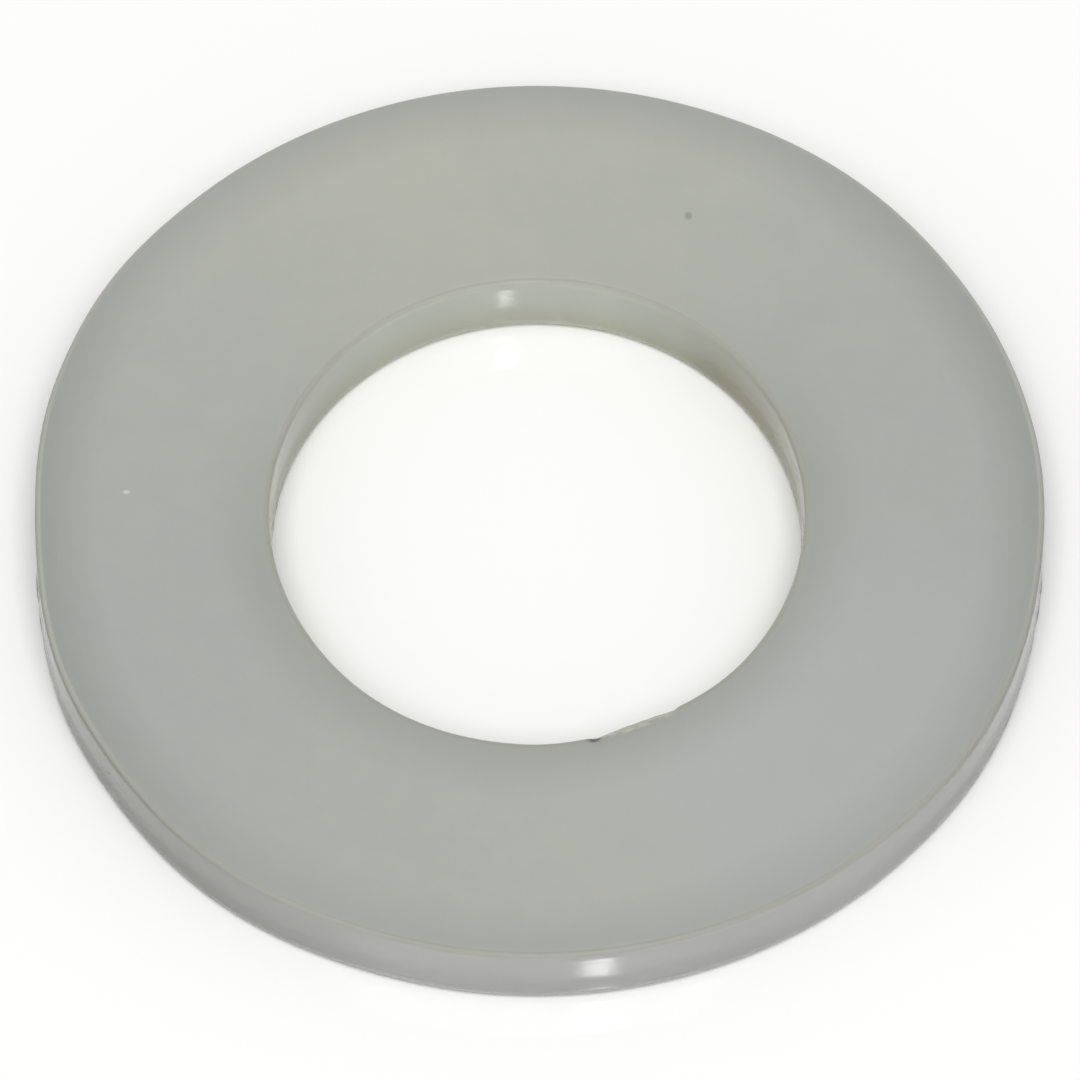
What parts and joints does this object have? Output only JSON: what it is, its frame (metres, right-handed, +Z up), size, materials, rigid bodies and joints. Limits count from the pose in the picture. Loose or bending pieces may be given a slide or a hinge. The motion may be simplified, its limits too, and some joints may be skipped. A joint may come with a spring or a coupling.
{
  "type": "flat washer",
  "caption": "Plain flat washer moulded in one piece from natural nylon, with a round bore, two flat bearing faces and rounded edges.",
  "frame": {"origin": "centre of the underside, which is the seating face, on the axis of the bore", "axes": "+Z up along the axis of the bore, from the underside to the top face; +X and +Y lie in the washer's plane"},
  "size_m": [0.02, 0.02, 0.0016],
  "materials": {
    "natural_nylon": "satin"
  },
  "bodies": {
    "root": {"washer": "natural_nylon"}
  },
  "joints": []
}
